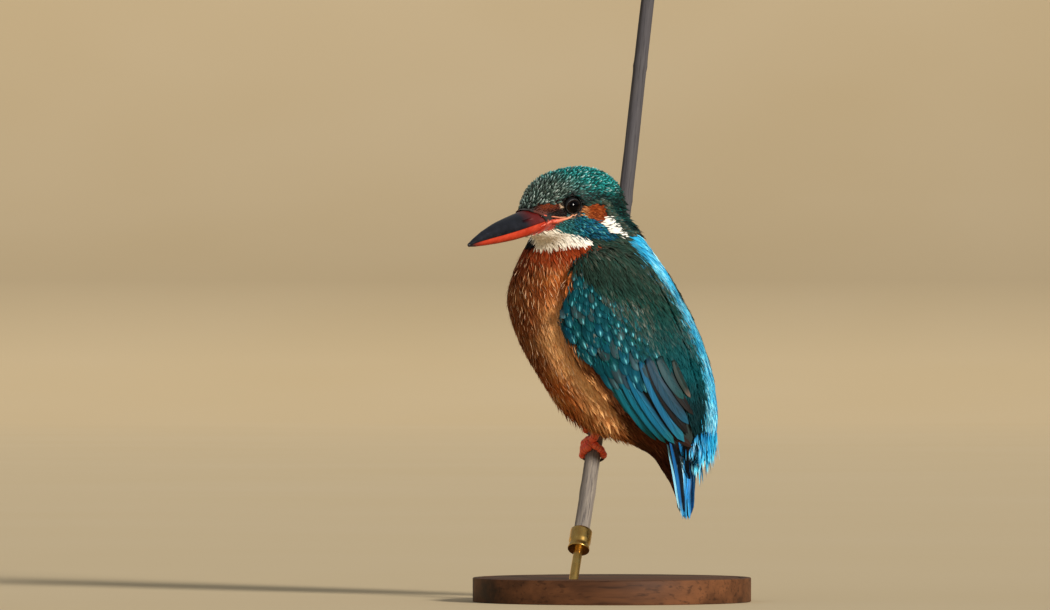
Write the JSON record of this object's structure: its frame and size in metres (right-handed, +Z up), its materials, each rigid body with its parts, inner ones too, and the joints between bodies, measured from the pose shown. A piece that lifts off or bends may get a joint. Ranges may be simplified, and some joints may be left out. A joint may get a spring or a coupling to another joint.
{
  "type": "common kingfisher model",
  "caption": "Life-size model of a perched kingfisher looking over its left shoulder, gripping a slender leaning stem held in a turned stand.",
  "frame": {"origin": "centre of the stand's flat underside", "axes": "+Z up; the bird's left side faces -Y; its bill points towards -X and -Y; the stem leans towards +Y as it rises"},
  "size_m": [0.0937, 0.1149, 0.2019],
  "materials": {
    "plumage_orange": "soft overlapping body feathers, rufous orange",
    "plumage_head": "short scale-like feathers, dark green with turquoise tips",
    "plumage_wing": "closed wing feathers, deep blue-green with turquoise spots",
    "plumage_tail": "stiff narrow feathers, bright blue",
    "bill_black": "satin horn, blue-black with a red base",
    "bill_orange": "satin horn, orange-red with a dusky tip",
    "eye_dark": "wet gloss, near black",
    "foot_red": "finely scaled skin, coral red",
    "claw_dark": "satin horn, dark brown",
    "stem_grey": "weathered dry stem, matt grey",
    "stand_wood": "turned dark hardwood, satin",
    "stand_brass": "satin"
  },
  "bodies": {
    "root": {"head": "plumage_head", "neck": "plumage_orange", "trunk": "plumage_orange", "wing_left": "plumage_wing", "wing_right": "plumage_wing", "tail": "plumage_tail", "bill_upper": "bill_black", "bill_lower": "bill_orange", "eye_left": "eye_dark", "eye_right": "eye_dark", "leg_left": "foot_red", "leg_right": "foot_red", "perch_stem": "stem_grey", "stand_base": "stand_wood", "stand_rod": "stand_brass", "stand_ferrule": "stand_brass", "claw_left_inner": "claw_dark", "claw_left_middle": "claw_dark", "claw_left_outer": "claw_dark", "claw_left_hind": "claw_dark", "claw_right_inner": "claw_dark", "claw_right_middle": "claw_dark", "claw_right_outer": "claw_dark", "claw_right_hind": "claw_dark"}
  },
  "joints": []
}
